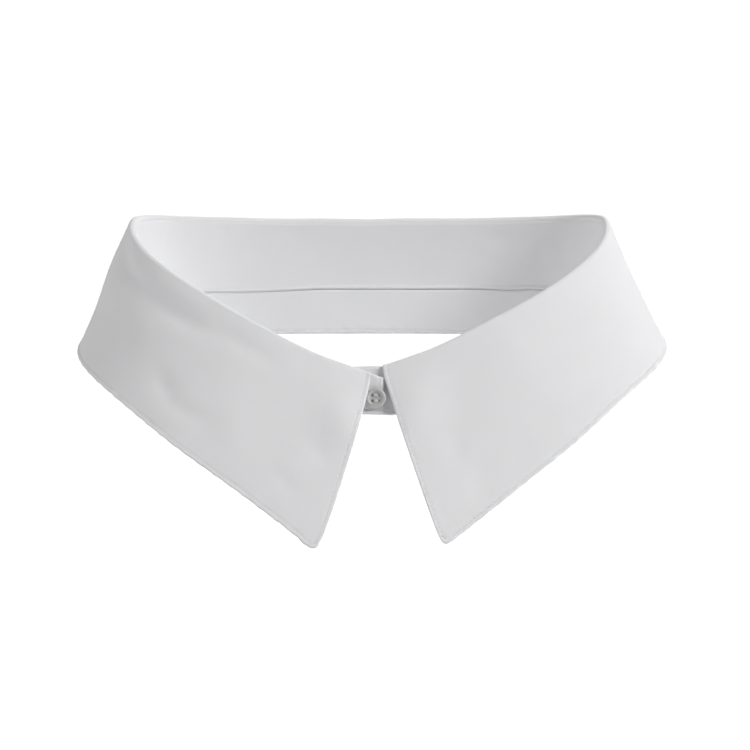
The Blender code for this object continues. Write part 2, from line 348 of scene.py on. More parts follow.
def mathNode(tree, operation, first, second=None, third=None):
    node = tree.nodes.new("ShaderNodeMath")
    node.operation = operation
    for k, value in enumerate((first, second, third)):
        if value is None:
            continue
        if isinstance(value, (int, float)):
            node.inputs[k].default_value = value
        else:
            tree.links.new(value, node.inputs[k])
    return node.outputs[0]


weaveLook = {
    "warpPitch": 0.00022,  # metres from thread to thread
    "weftPitch": 0.0003,
    "slub": 0.35,
    "slubScale": 1800,
    "slubDetail": 2,
    "slubStretch": 0.06,
    "crossings": 0.3,
    "ridges": 0.4,
}


def poplinWeaveGroup():
    # threads over and under each other, from a place on the cloth in metres
    group, given, out = newGroup(
        "poplinWeave",
        [("Place", "NodeSocketVector", None), ("Warp Pitch", "NodeSocketFloat", weaveLook["warpPitch"]),
         ("Weft Pitch", "NodeSocketFloat", weaveLook["weftPitch"]),
         ("Slub", "NodeSocketFloat", weaveLook["slub"])],
        [("Height", "NodeSocketFloat"), ("Shade", "NodeSocketFloat")],
    )
    links = group.links

    def step(operation, first, second=None):
        return mathNode(group, operation, first, second)

    split = group.nodes.new("ShaderNodeSeparateXYZ")
    links.new(given.outputs["Place"], split.inputs[0])
    stretched = group.nodes.new("ShaderNodeVectorMath")
    stretched.operation = "MULTIPLY"
    stretched.inputs[1].default_value = (1, weaveLook["slubStretch"], 1)
    links.new(given.outputs["Place"], stretched.inputs[0])
    slubs = group.nodes.new("ShaderNodeTexNoise")
    slubs.inputs["Scale"].default_value = weaveLook["slubScale"]
    slubs.inputs["Detail"].default_value = weaveLook["slubDetail"]
    links.new(stretched.outputs[0], slubs.inputs["Vector"])
    slub = step("MULTIPLY", step("SUBTRACT", slubs.outputs[0], 0.5), given.outputs["Slub"])
    turnX = step("MULTIPLY", step("DIVIDE", split.outputs[0], given.outputs["Warp Pitch"]), math.pi)
    turnY = step("MULTIPLY", step("DIVIDE", split.outputs[1], given.outputs["Weft Pitch"]), math.pi)
    crossings = step("MULTIPLY", step("SINE", turnX), step("SINE", turnY))
    ridges = step("ABSOLUTE", step("SINE", turnX))
    crossed = step("MULTIPLY", crossings, weaveLook["crossings"])
    height = step("ADD", crossed, step("MULTIPLY", ridges, weaveLook["ridges"]))
    links.new(step("ADD", height, slub), out.inputs["Height"])
    links.new(step("ADD", slub, 0.5), out.inputs["Shade"])
    return group


def softToneGroup():
    # slow drifts of tone, as on anything handled and pressed
    group, given, out = newGroup(
        "softTone",
        [("Place", "NodeSocketVector", None), ("Scale", "NodeSocketFloat", 60.0),
         ("Amount", "NodeSocketFloat", 0.02)],
        [("Shade", "NodeSocketFloat"), ("Mask", "NodeSocketFloat")],
    )
    noise = group.nodes.new("ShaderNodeTexNoise")
    noise.inputs["Detail"].default_value = 3
    group.links.new(given.outputs["Place"], noise.inputs["Vector"])
    group.links.new(given.outputs["Scale"], noise.inputs["Scale"])
    centred = mathNode(group, "SUBTRACT", noise.outputs[0], 0.5)
    shade = mathNode(group, "MULTIPLY_ADD", centred, given.outputs["Amount"], 1.0)
    group.links.new(shade, out.inputs["Shade"])
    group.links.new(noise.outputs[0], out.inputs["Mask"])
    return group


poplinWeave = poplinWeaveGroup()
softTone = softToneGroup()


def placeGroup(tree, group, values, place):
    node = tree.nodes.new("ShaderNodeGroup")
    node.node_tree = group
    for label, value in values.items():
        node.inputs[label].default_value = value
    tree.links.new(place, node.inputs["Place"])
    return node


def newMaterial(name):
    material = bpy.data.materials.new(name)
    material.use_nodes = True
    tree = material.node_tree
    place = tree.nodes.new("ShaderNodeAttribute")
    place.attribute_name = "clothPlace"
    return material, tree, tree.nodes["Principled BSDF"], place.outputs["Vector"]


def tintedColor(tree, color, *shades):
    # a base colour times the shades that groups give
    factor = shades[0]
    for shade in shades[1:]:
        factor = mathNode(tree, "MULTIPLY", factor, shade)
    tint = tree.nodes.new("ShaderNodeVectorMath")
    tint.operation = "SCALE"
    tint.inputs[0].default_value = color
    tree.links.new(factor, tint.inputs["Scale"])
    return tint.outputs[0]


def addBump(tree, shader, height, distance):
    bump = tree.nodes.new("ShaderNodeBump")
    bump.inputs["Strength"].default_value = 1
    bump.inputs["Distance"].default_value = distance
    tree.links.new(height, bump.inputs["Height"])
    tree.links.new(bump.outputs[0], shader.inputs["Normal"])


def addRoughness(tree, shader, mask, middle, spread):
    rough = mathNode(tree, "MULTIPLY_ADD", mask, spread, middle - spread / 2)
    tree.links.new(rough, shader.inputs["Roughness"])


cottonLook = {
    "color": (0.81, 0.81, 0.82),
    "roughness": 0.82,
    "roughnessSpread": 0.08,
    "sheen": 0.02,
    "sheenRoughness": 0.5,
    "specular": 0.25,
    "weaveShade": 0.04,
    "weaveBump": 0.00003,
    "toneScale": 45.0,
    "toneAmount": 0.03,
    "bandTone": 1.3,  # times the leaf's, as the band is pressed less
}


def cottonMaterial(name, toneAmount):
    look = cottonLook
    material, tree, shader, place = newMaterial(name)
    weave = placeGroup(tree, poplinWeave, {}, place)
    tone = placeGroup(tree, softTone, {"Scale": look["toneScale"], "Amount": toneAmount}, place)
    shade = look["weaveShade"]
    fine = mathNode(tree, "MULTIPLY_ADD", weave.outputs["Shade"], shade, 1 - shade / 2)
    color = tintedColor(tree, look["color"], tone.outputs["Shade"], fine)
    tree.links.new(color, shader.inputs["Base Color"])
    addRoughness(tree, shader, tone.outputs["Mask"], look["roughness"], look["roughnessSpread"])
    shader.inputs["Sheen Weight"].default_value = look["sheen"]
    shader.inputs["Sheen Roughness"].default_value = look["sheenRoughness"]
    shader.inputs["Specular IOR Level"].default_value = look["specular"]
    addBump(tree, shader, weave.outputs["Height"], look["weaveBump"])
    return material


threadLook = {
    "color": (0.78, 0.78, 0.79),
    "roughness": 0.6,
    "sheen": 0.1,
    "toneScale": 300.0,
    "toneAmount": 0.06,
    "twistPitch": 0.00045,
    "twistBump": 0.00002,
}


def threadMaterial():
    # the place runs along the thread in x and round it in y
    look = threadLook
    material, tree, shader, place = newMaterial("sewingThread")
    split = tree.nodes.new("ShaderNodeSeparateXYZ")
    tree.links.new(place, split.inputs[0])
    along = mathNode(tree, "DIVIDE", split.outputs[0], look["twistPitch"])
    twist = mathNode(tree, "SINE", mathNode(tree, "MULTIPLY_ADD", along, 2 * math.pi, split.outputs[1]))
    tone = placeGroup(tree, softTone, {"Scale": look["toneScale"], "Amount": look["toneAmount"]}, place)
    tree.links.new(tintedColor(tree, look["color"], tone.outputs["Shade"]), shader.inputs["Base Color"])
    shader.inputs["Roughness"].default_value = look["roughness"]
    shader.inputs["Sheen Weight"].default_value = look["sheen"]
    addBump(tree, shader, twist, look["twistBump"])
    return material


buttonLook = {
    # a mid grey, darker than the white button itself: painted shade, so the button looks as dim as the
    # shadowed closure it sits in
    "color": (0.52, 0.52, 0.51),
    "roughness": 0.365,
    "roughnessSpread": 0.15,
    "cloudScale": 420.0,
    "cloud": 0.10,
    "cloudBump": 0.00004,
    "coat": 0.25,
    "coatRoughness": 0.15,
}


def buttonMaterial():
    look = buttonLook
    material, tree, shader, place = newMaterial("buttonPearl")
    tone = placeGroup(tree, softTone, {"Scale": look["cloudScale"], "Amount": look["cloud"]}, place)
    tree.links.new(tintedColor(tree, look["color"], tone.outputs["Shade"]), shader.inputs["Base Color"])
    addRoughness(tree, shader, tone.outputs["Mask"], look["roughness"], look["roughnessSpread"])
    shader.inputs["Coat Weight"].default_value = look["coat"]
    shader.inputs["Coat Roughness"].default_value = look["coatRoughness"]
    addBump(tree, shader, tone.outputs["Mask"], look["cloudBump"])
    return material


leafCotton = cottonMaterial("leafCotton", cottonLook["toneAmount"])
bandCotton = cottonMaterial("bandCotton", cottonLook["toneAmount"] * cottonLook["bandTone"])
sewingThread = threadMaterial()
buttonPearl = buttonMaterial()
print("materials made")


# The leaf: a shell over the roll, the fold and the fall.
leafShell = {
    "columnStep": 0.95 * mm,
    "seamSteps": [0, 0.3, 0.6, 0.8, 0.9, 1.02, 1.15, 1.28, 1.38, 1.55, 1.8, 2.1, 2.5, 3.0],
    "rollRows": 9,  # between the rows gathered at the seam and those at the fold
    "fullRoll": 9,  # mm; on a lower roll the gathered rows draw together
    "foldSteps": [2.8, 2.1, 1.6, 1.25, 0.95, 0.7, 0.45, 0.22],
    "foldRows": 16,
    "fallRows": 26,
    "edgeSteps": [0, 0.05, 0.16, 0.34, 0.6, 1.0, 1.35, 1.7, 2.1, 2.6, 3.3],
    "rimHalf": 0.60 * mm,
    "panelHalf": 0.44 * mm,
    "panelReach": 1.2 * mm,  # from the stitches to where the panel has its own thickness
    "stitchInset": 1.45 * mm,
    "seamStitchInset": 1.5 * mm,
    "grooveDepth": 0.27 * mm,
    "grooveWidth": 0.38 * mm,
    "seamNotch": 0.95,  # share of the wall's half that the crevice at the seam takes
    "notchWidth": 0.46 * mm,
    "notchPower": 4,
    "seamSwell": 0.5 * mm,  # how far the roll bulges over the crevice
    "swellAt": 1.0 * mm,
    "swellWidth": 0.9 * mm,
    "tipRadius": 2.3 * mm,
    "edgeWaver": 0.09 * mm,
    "waverTurns": (3.1, 5.3),
    "waverSecond": 0.7,
    "pressDrop": -1.8,  # mm from the crest to the line where the fold is pressed
    "pressDepth": 0.2 * mm,
    "pressWidth": 0.3,
    "frontReach": 18 * mm,  # how far back the front edge's own shape is felt
    "frontLength": 90 * mm,
    "frontColumns": 30,  # near enough to each front edge to feel it
    "styleReach": 12 * mm,
}

# How far the front edges run ahead of a straight one: drops and shifts in mm
frontShape = {
    -1: ([-14, -4, -1, 0.4, 1.5, 3, 6.5, 10, 13, 19, 30, 42, 50, 56, 58.5, 60.5],
         [0, -0.3, -0.9, -0.9, -0.5, -0.3, 0.1, 0.3, 0.45, 0.65, 0.95, 1.1, 1.0, 0.8, 0.5, 0.1]),
    1: ([-14, -4, -1, 0.3, 1.5, 3, 5, 8, 16, 20, 45, 55, 59, 61.5],
        [0, 0, 0, 0.1, 0.4, 0.7, 0.8, 0.85, 0.95, 1.2, 1.35, 1.3, 1.1, 0.8]),
}

# Soft troughs and ridges: way and drop from the fold in mm at both ends, inside the
# roll where the drop is negative; width and depth in mm, a ridge where depth is negative
Crease = namedtuple("Crease", "side fromWay fromDrop toWay toDrop width depth")
leafCreases = [
    Crease(-1, 43, 15, 61, 15, 12.0, -1.3),
    Crease(-1, 95, 12, 100, 26, 6.4, -1.9),
    Crease(1, 94, 12, 99, 26, 6.4, -1.9),
    Crease(-1, 54, 6, 60, 9, 3.2, 0.50),
    Crease(-1, 58, 10, 67, 11, 3.6, 0.85),
    Crease(-1, 67, 12, 76, 10, 3.2, 0.80),
    Crease(-1, 77, 8, 86, 9, 2.8, 0.60),
    Crease(-1, 60, 4, 74, 4, 2.4, -0.28),
    Crease(-1, 61, 31, 65, 37, 4.0, 0.40),
    Crease(-1, 73, 30, 76, 35, 3.0, 0.75),
    Crease(-1, 76, 36, 82, 36, 2.6, 0.55),
    Crease(-1, 94, 28, 97.5, 34, 2.2, 0.50),
    Crease(-1, 92, 41, 95, 47, 2.4, 0.50),
    Crease(-1, 62, 24, 68, 30, 4.0, 0.55),
    Crease(-1, 83, 26, 87, 42, 4.5, -0.60),
    Crease(-1, 25, -5, 27, -4.6, 1.8, 0.26),
    Crease(-1, 12, -4.4, 16, -5, 1.6, 0.24),
    Crease(-1, 8, 14, 19, 11, 4.0, 0.60),
    Crease(-1, 24, 24, 29, 36, 4.5, 0.70),
    Crease(1, 92.5, 28, 94, 40, 2.6, 0.55),
    Crease(1, 91, 40, 93.5, 52, 3.0, 0.60),
    Crease(1, 85.5, 42, 89, 46, 2.2, 0.50),
    Crease(1, 79, 32, 83, 38, 3.0, 0.45),
    Crease(1, 55, 20, 62, 18, 4.0, 0.55),
    Crease(1, 70, 14, 78, 12, 4.0, 0.55),
    Crease(1, 58, 28, 62, 36, 4.5, 0.45),
    Crease(1, 84, 9, 92, 10, 3.2, 0.60),
    Crease(1, 64, 4, 78, 4, 2.4, -0.35),
    Crease(1, 20, -7.4, 26, -7, 1.6, 0.28),
    Crease(1, 5, 22, 9, 34, 5.0, 0.70),
    Crease(1, 20, 12, 33, 14, 4.0, 0.55),
    Crease(1, 36, 26, 40, 37, 4.0, -0.55),
]
creaseEnds = {"share": 0.35, "taper": 0.7}  # depth left at a crease's ends, and how it tapers


def leafRows(column):
    length = (column.rollTop - column.start).length / mm
    scale = min(1, length / leafShell["fullRoll"])
    low = [step * scale for step in leafShell["seamSteps"]]
    high = [length - step * scale for step in leafShell["foldSteps"]]
    count = leafShell["rollRows"] + 1
    between = [low[-1] + (high[0] - low[-1]) * k / count for k in range(1, count)]
    rows = [("roll", at / length) for at in low + between + high]
    rows += [("fold", k / leafShell["foldRows"]) for k in range(leafShell["foldRows"])]
    tailStart = 1 - leafShell["edgeSteps"][-1] * mm / column.fall
    rows += [("fall", tailStart * k / leafShell["fallRows"]) for k in range(leafShell["fallRows"])]
    return rows + [("fall", 1 - step * mm / column.fall) for step in reversed(leafShell["edgeSteps"])]


def endWays(side, end, steps, columnStep):
    # ways from just past the centre back to the front end, closer together at the end
    perWay = wayLength[side]
    near = [end - step * mm / perWay for step in steps]
    count = round(near[-1] * perWay / columnStep)
    return [near[-1] * k / count for k in range(1, count)] + near[::-1]


def clothColumns(ends, steps, columnStep):
    right = [(-1, way) for way in reversed(endWays(-1, ends[-1], steps, columnStep))]
    left = [(1, way) for way in endWays(1, ends[1], steps, columnStep)]
    return right + [(1, 0.0)] + left


def creaseRelief(creases, columns, drops):
    # drops: mm of each point down its column; the relief is positive where pressed in
    relief = np.zeros_like(drops)
    around = np.array([way * wayLength[side] / mm for side, way in columns])[:, None]
    for crease in creases:
        mine = np.array([side == crease.side for side, _ in columns])[:, None]
        scale = wayLength[crease.side] / mm
        start = np.array([crease.fromWay * scale, crease.fromDrop])
        run = np.array([crease.toWay * scale, crease.toDrop]) - start
        length = np.hypot(*run)
        share = ((around - start[0]) * run[0] + (drops - start[1]) * run[1]) / length ** 2
        held = np.clip(share, 0, 1)
        away = np.hypot(around - start[0] - held * run[0], drops - start[1] - held * run[1])
        swell = np.sin(np.pi * held) ** creaseEnds["taper"]
        taper = creaseEnds["share"] + (1 - creaseEnds["share"]) * swell
        relief += mine * crease.depth * taper * softHump(away, crease.width)
    return relief * mm


def leafGrid():
    shell = leafShell
    columns = clothColumns(leafFront, shell["edgeSteps"], shell["columnStep"])
    crest = len(shell["seamSteps"] + shell["foldSteps"]) + shell["rollRows"] + shell["foldRows"] // 2
    first, second = shell["waverTurns"]
    middles, facings, drops = [], [], []
    for side, way in columns:
        column = leafColumn(side, way)
        toEnd = (leafFront[side] - way) * wayLength[side]
        waver = math.sin(first * way) + shell["waverSecond"] * math.sin(second * way + side)
        inward = min(toEnd / shell["tipRadius"], 1)
        rounding = shell["tipRadius"] * (1 - math.sqrt(1 - (1 - inward) ** 2))
        column = column._replace(fall=column.fall + shell["edgeWaver"] * waver - rounding)
        line = [leafPoint(column, zone, share) for zone, share in leafRows(column)]
        points = np.array([point for point, _ in line])
        steps = np.linalg.norm(np.diff(points, axis=0), axis=1)
        run = np.concatenate([[0], np.cumsum(steps)])
        drop = (run - run[crest]) / mm
        if toEnd < shell["frontReach"]:
            felt = smoothStep(1 - toEnd / shell["frontReach"])
            ahead = np.interp(drop, *frontShape[side]) * mm * felt
            points = points + ahead[:, None] * np.array(foldFrame(side, way).forward)
        middles.append(points)
        facings.append(np.array([facing for _, facing in line]))
        drops.append(drop)
    return columns, np.array(middles), np.array(facings), np.array(drops)


# Small puckers along the sewn edges: how they may vary
puckerHabit = {
    "styleSeed": 11,
    "frontSeed": 13,
    "bandSeed": 18,
    "gap": (1.9, 5.5),
    "reach": (2.2, 5.5),
    "width": (0.8, 1.8),
    "depth": (-0.13, 0.22),
    "slant": 0.8,
    "skew": 0.6,  # under 1: deepest nearer the edge
    "bandShare": 0.8,  # of that depth on the band
}


def puckerRelief(distance, along, length, seed):
    # short dents that run in from a sewn edge, uneven in spacing and depth
    draw = random.Random(seed)
    relief = np.zeros_like(distance)
    at = draw.uniform(*puckerHabit["gap"]) * mm
    while at < length:
        reach = draw.uniform(*puckerHabit["reach"]) * mm
        width = draw.uniform(*puckerHabit["width"]) * mm
        depth = draw.uniform(*puckerHabit["depth"]) * mm
        slant = draw.uniform(-puckerHabit["slant"], puckerHabit["slant"])
        inward = np.clip(distance / reach, 0, 1)
        shape = np.sin(np.pi * inward ** puckerHabit["skew"]) * (distance < reach)
        relief += depth * shape * softHump(along - at - slant * distance, width)
        at += draw.uniform(*puckerHabit["gap"]) * mm
    return relief


def stitchGroove(away, inset):
    return leafShell["grooveDepth"] * softHump(away - inset, leafShell["grooveWidth"])


def panelThinning(away, shell):
    # the cloth inside the stitches is thinner than its turned and sewn edge
    inside = smoothStep((away - shell["stitchInset"]) / leafShell["panelReach"])
    return (shell["rimHalf"] - shell["panelHalf"]) * inside


def frontEnds(shell):
    count = shell["frontColumns"]
    return (0, slice(0, count)), (-1, slice(-count, None))


def lengthsRound(columns):
    # how far each column lies round the collar from the centre back
    return np.array([side * way * wayLength[side] for side, way in columns])


def makeLeafSurfaces():
    shell = leafShell
    columns, middle, facing, drops = leafGrid()
    styleLine = middle[:, -1]
    styleAway, frontAway = np.full(drops.shape, 1.0), np.full(drops.shape, 1.0)
    styleAlong, frontAlong = np.zeros(drops.shape), np.zeros(drops.shape)
    near = (drops[:, -1:] - drops).min(axis=0) * mm < shell["styleReach"]
    styleAway[:, near], styleAlong[:, near] = distanceToLine(middle[:, near], styleLine)
    for end, near in frontEnds(shell):
        frontAway[near], frontAlong[near] = distanceToLine(middle[near], middle[end])
    seamAway = (drops - drops[:, :1]) * mm - collarForm["tuck"]
    relief = creaseRelief(leafCreases, columns, drops)
    length = np.linalg.norm(np.diff(styleLine, axis=0), axis=1).sum()
    relief += puckerRelief(styleAway, styleAlong, length, puckerHabit["styleSeed"])
    for end, near in frontEnds(shell):
        seed = puckerHabit["frontSeed"] + end
        relief[near] += puckerRelief(frontAway[near], frontAlong[near], shell["frontLength"], seed)
    swell = softHump(seamAway - shell["swellAt"], shell["swellWidth"])
    relief -= shell["seamSwell"] * swell * (seamAway > 0)
    middle = middle - facing * relief[..., None]
    edgeAway = np.minimum(styleAway, frontAway)
    half = shell["rimHalf"] * roundedEdge(edgeAway, shell["rimHalf"])
    half -= stitchGroove(edgeAway, shell["stitchInset"]) + panelThinning(edgeAway, shell)
    half -= stitchGroove(seamAway, shell["seamStitchInset"])
    notch = np.exp(-((np.maximum(seamAway, 0) / shell["notchWidth"]) ** shell["notchPower"]))
    half *= 1 - shell["seamNotch"] * notch
    half = np.maximum(half, 0)
    half[:, 0] = 0
    pressed = shell["pressDepth"] * softHump(drops - shell["pressDrop"], shell["pressWidth"])
    around = np.broadcast_to(lengthsRound(columns)[:, None], drops.shape)
    return {
        "upper": middle + facing * (half - pressed)[..., None], "lower": middle - facing * half[..., None],
        "facing": facing, "place": np.stack([around, drops * mm, np.zeros(drops.shape)], axis=-1),
        "styleAway": styleAway, "frontAway": frontAway, "seamAway": seamAway,
    }


def clothPiece(name, surfaces, material):
    mesh = shellMesh(name, surfaces["upper"], surfaces["lower"], surfaces["place"])
    return linkPiece(name, mesh, material)


leafSurfaces = makeLeafSurfaces()
leafPiece = clothPiece("collarLeafCloth", leafSurfaces, leafCotton)
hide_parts("collar_leaf")
print("leaf shaped")


# The stand: a band round the neck, its ends lapped at the front.
standShell = {
    "columnStep": 0.95 * mm,
    "rows": 14,
    "edgeSteps": [0, 0.03, 0.08, 0.25, 0.5, 0.9, 1.2, 1.5, 1.9, 2.4, 3.0],
    "rimHalf": 0.90 * mm,
    "panelHalf": 0.78 * mm,
    "lip": 0.04 * mm,  # half the wall at the seam, where the leaf comes out
    "ledgeRounding": 0.3 * mm,
    "coverRun": 0.6,  # ways over which the leaf's end uncovers the lap
    "endThinning": 0.4,
    "endReach": 2.2 * mm,
    "stitchInset": 1.35 * mm,
    "frontColumns": 14,
    "weaveStart": 0.37,  # so that the weave doesn't run on from the leaf's
}
standCreases = [
    Crease(-1, 20, 3, 24, 11, 3.0, 0.30),
    Crease(1, 12, 4, 17, 10, 3.0, -0.28),
    Crease(1, 33, 2, 36, 12, 3.0, 0.32),
    Crease(-1, 52, 3, 57, 11, 3.4, 0.30),
    Crease(1, 60, 4, 66, 9, 3.6, 0.26),
    Crease(-1, 80, 3, 84, 10, 3.2, 0.26),
]


def makeStandSurfaces():
    shell = standShell
    columns = clothColumns(lapFront, shell["edgeSteps"], shell["columnStep"])
    steps = [step * mm for step in shell["edgeSteps"]]
    middles, facings = [], []
    for side, way in columns:
        seam, neck, outward = standLines(side, way)
        height = (seam - neck).length
        between = (height - 2 * steps[-1]) / shell["rows"]
        line = steps + [steps[-1] + between * k for k in range(1, shell["rows"])]
        line += [height - step for step in reversed(steps)]
        down = (neck - seam).normalized()
        middles.append(np.array([seam + down * at for at in line]))
        facings.append(np.array([-outward] * len(line)))
    middle, facing = np.array(middles), np.array(facings)
    seamAway = np.linalg.norm(middle - middle[:, :1], axis=2)
    neckAway = np.linalg.norm(middle - middle[:, -1:], axis=2)
    frontAway = np.full(seamAway.shape, 1.0)
    for end, near in frontEnds(shell):
        frontAway[near], _ = distanceToLine(middle[near], middle[end])
    relief = creaseRelief(standCreases, columns, seamAway / mm)
    around = lengthsRound(columns) - lengthsRound(columns)[0]
    along = np.broadcast_to(around[:, None], seamAway.shape)
    puckers = puckerRelief(neckAway, along, around[-1], puckerHabit["bandSeed"])
    middle = middle - facing * (relief + puckers * puckerHabit["bandShare"])[..., None]
    sewn = np.minimum(neckAway, frontAway)
    rim = shell["rimHalf"]
    uncovered = rim * roundedEdge(np.minimum(seamAway, sewn), rim)
    ledged = shell["lip"] + (rim - shell["lip"]) * roundedEdge(seamAway, shell["ledgeRounding"])
    ledged = np.minimum(np.where(seamAway > 0, ledged, 0), rim * roundedEdge(sewn, rim))
    toLeafEnd = np.array([leafFront[side] - way for side, way in columns])[:, None]
    covered = smoothStep(toLeafEnd / shell["coverRun"] + 0.5)
    half = uncovered * (1 - covered) + ledged * covered
    half -= stitchGroove(sewn, shell["stitchInset"]) + panelThinning(sewn, shell)
    half *= 1 - shell["endThinning"] * softHump(frontAway, shell["endReach"])
    place = np.stack([along + shell["weaveStart"], seamAway, np.zeros(seamAway.shape)], axis=-1)
    return {
        "upper": middle + facing * half[..., None], "lower": middle - facing * half[..., None],
        "facing": facing, "place": place, "neckAway": neckAway, "frontAway": frontAway, "seamAway": seamAway,
    }


def closureFrame():
    # on the over lap's outer face at the button, with z out of the cloth
    seam, neck, outward = standLines(-1, 100)
    up = (seam - neck).normalized()
    across = up.cross(outward).normalized()
    middle = seam.lerp(neck, buttonSizes["drop"]) + outward * collarForm["standWall"] / 2
    return Matrix.Translation(middle) @ Matrix((across, up, across.cross(up))).transposed().to_4x4()


buttonSizes = {
    "radius": 3.3 * mm,
    "thickness": 1.7 * mm,
    "dishDepth": 0.6 * mm,
    "rim": 0.9 * mm,
    "rounding": 0.45 * mm,
    "holeRadius": 0.45 * mm,
    "holeSpacing": 1.8 * mm,
    "shoulder": 0.12 * mm,  # the rounded step from the rim down into the dish
    "slope": 0.62 * mm,
    "drop": 0.60,
    "slotLength": 7.5 * mm,
    "slotHeight": 0.8 * mm,
    "slotEnd": 1.2 * mm,
    "sides": 72,
    "holeSides": 24,
    "edgeSteps": 8,
    "dishSteps": 6,
    "sharpAngle": math.radians(38),
}

standSurfaces = makeStandSurfaces()
standPiece = clothPiece("collarStandCloth", standSurfaces, bandCotton)


def cutPiece(piece, cutterMesh):
    cutter = linkObject("cutter", cutterMesh)
    cut = piece.modifiers.new("cut", "BOOLEAN")
    cut.operation = "DIFFERENCE"
    cut.solver = "EXACT"
    cut.object = cutter
    graph = bpy.context.evaluated_depsgraph_get()
    made = bpy.data.meshes.new_from_object(piece.evaluated_get(graph))
    piece.modifiers.clear()
    piece.data = made
    bpy.data.objects.remove(cutter, do_unlink=True)


def cutButtonhole():
    slot = bmesh.new()
    bmesh.ops.create_cube(slot, size=1)
    wall = collarForm["standWall"]
    depth = 2 * wall + collarForm["seamGap"] / 2
    size = Matrix.Diagonal((buttonSizes["slotLength"], buttonSizes["slotHeight"], depth, 1))
    centre = Vector((buttonSizes["slotEnd"] - buttonSizes["slotLength"] / 2, 0, wall - depth / 2))
    bmesh.ops.transform(slot, matrix=closureFrame() @ Matrix.Translation(centre) @ size, verts=slot.verts)
    cutPiece(standPiece, meshFrom(slot, "slot"))


cutButtonhole()
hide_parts("collar_stand")
print("stand shaped")


# Thread: every stitch is a short grain of thread sunk in its groove.
stitchSizes = {
    "pitch": 1.5 * mm,
    "length": 1.22 * mm,
    "width": 0.15 * mm,
    "height": 0.10 * mm,
    "sink": 0.07 * mm,
    "endShare": 0.45,  # of the thickness, at a stitch's ends
    "swellPower": 0.6,
    "archPower": 0.5,
    "endDip": 0.16 * mm,
    "rings": 5,
    "sides": 6,
    "seed": 5,
    "turnSpread": 0.05,
    "lengthSpread": (0.9, 1.04),
    "widthSpread": (0.9, 1.1),
    "placeStep": 0.0017,  # so that no two stitches have the same tone
    "lineShare": 0.98,  # of the inset, within which a line still counts as inside
    "seamEnds": 2.4 * mm,  # from the front edges to where the seam's stitches start
}


def grainTemplate():
    s = stitchSizes
    points, places, faces = [], [], []
    for k in range(s["rings"]):
        share = k / (s["rings"] - 1)
        swell = s["endShare"] + (1 - s["endShare"]) * math.sin(math.pi * share) ** s["swellPower"]
        dip = (math.sin(math.pi * share) ** s["archPower"] - 1) * s["endDip"]
        for j in range(s["sides"]):
            turn = 2 * math.pi * j / s["sides"]
            points.append((
                (share - 0.5) * s["length"],
                math.cos(turn) * s["width"] * swell,
                math.sin(turn) * s["height"] * swell + dip,
            ))
            places.append((share * s["length"], turn, 0))
    tubeFaces(faces, 0, s["rings"], s["sides"])
    return np.array(points), np.array(places), faces


def tubeFaces(faces, first, rings, sides):
    # the sides and the two ends of a tube whose points lie ring after ring
    for k in range(rings - 1):
        low, high = first + k * sides, first + (k + 1) * sides
        for j in range(sides):
            following = (j + 1) % sides
            faces.append((low + j, low + following, high + following, high + j))
    faces.append(tuple(range(first, first + sides))[::-1])
    last = first + (rings - 1) * sides
    faces.append(tuple(range(last, last + sides)))


def spacedAlong(points, normals, pitch):
    # points at an even pitch along a line, with the line's direction and the cloth's normal
    steps = np.linalg.norm(np.diff(points, axis=0), axis=1)
    keep = np.concatenate([[True], steps > 1e-6])
    points, normals = points[keep], normals[keep]
    run = np.concatenate([[0], np.cumsum(np.linalg.norm(np.diff(points, axis=0), axis=1))])
    at = np.arange(pitch / 2, run[-1], pitch)

    def sample(values, where):
        return np.stack([np.interp(where, run, values[:, k]) for k in range(3)], axis=1)

    ahead = sample(points, np.minimum(at + pitch / 3, run[-1]))
    behind = sample(points, np.maximum(at - pitch / 3, 0))
    return sample(points, at), ahead - behind, sample(normals, at)


def stitchMesh(name, lines):
    # lines: (points, normals) on the cloth's face
    s = stitchSizes
    template, templatePlaces, templateFaces = grainTemplate()
    draw = np.random.default_rng(s["seed"])
    points, places, faces = [], [], []
    count = 0
    for linePoints, lineNormals in lines:
        centres, alongs, outs = spacedAlong(linePoints, lineNormals, s["pitch"])
        for centre, along, out in zip(centres, alongs, outs):
            out = out / np.linalg.norm(out)
            along = along - out * (along @ out)
            along = along / np.linalg.norm(along)
            along = along + np.cross(out, along) * draw.normal(0, s["turnSpread"])
            along = along / np.linalg.norm(along)
            across = np.cross(out, along)
            longer, wider = draw.uniform(*s["lengthSpread"]), draw.uniform(*s["widthSpread"])
            shape = template * np.array([longer, wider, 1])
            base = centre + out * (s["height"] - s["sink"])
            points.append(base + shape[:, :1] * along + shape[:, 1:2] * across + shape[:, 2:] * out)
            places.append(templatePlaces + np.array([count * s["placeStep"], 0, 0]))
            faces += [tuple(index + count * len(template) for index in face) for face in templateFaces]
            count += 1
    return newMesh(name, np.concatenate(points).tolist(), faces, np.concatenate(places))


def contourOverRows(values, level, surface, normals, columns):
    # where each column's value falls through the level, going along its rows
    points, outs = [], []
    for j in columns:
        row = values[j]
        for i in range(len(row) - 2, 0, -1):
            if row[i] >= level > row[i + 1]:
                share = (row[i] - level) / (row[i] - row[i + 1])
                points.append(surface[j, i] * (1 - share) + surface[j, i + 1] * share)
                outs.append(normals[j, i] * (1 - share) + normals[j, i + 1] * share)
                break
    return np.array(points), np.array(outs)


def turned(surface):
    return np.swapaxes(surface, 0, 1)


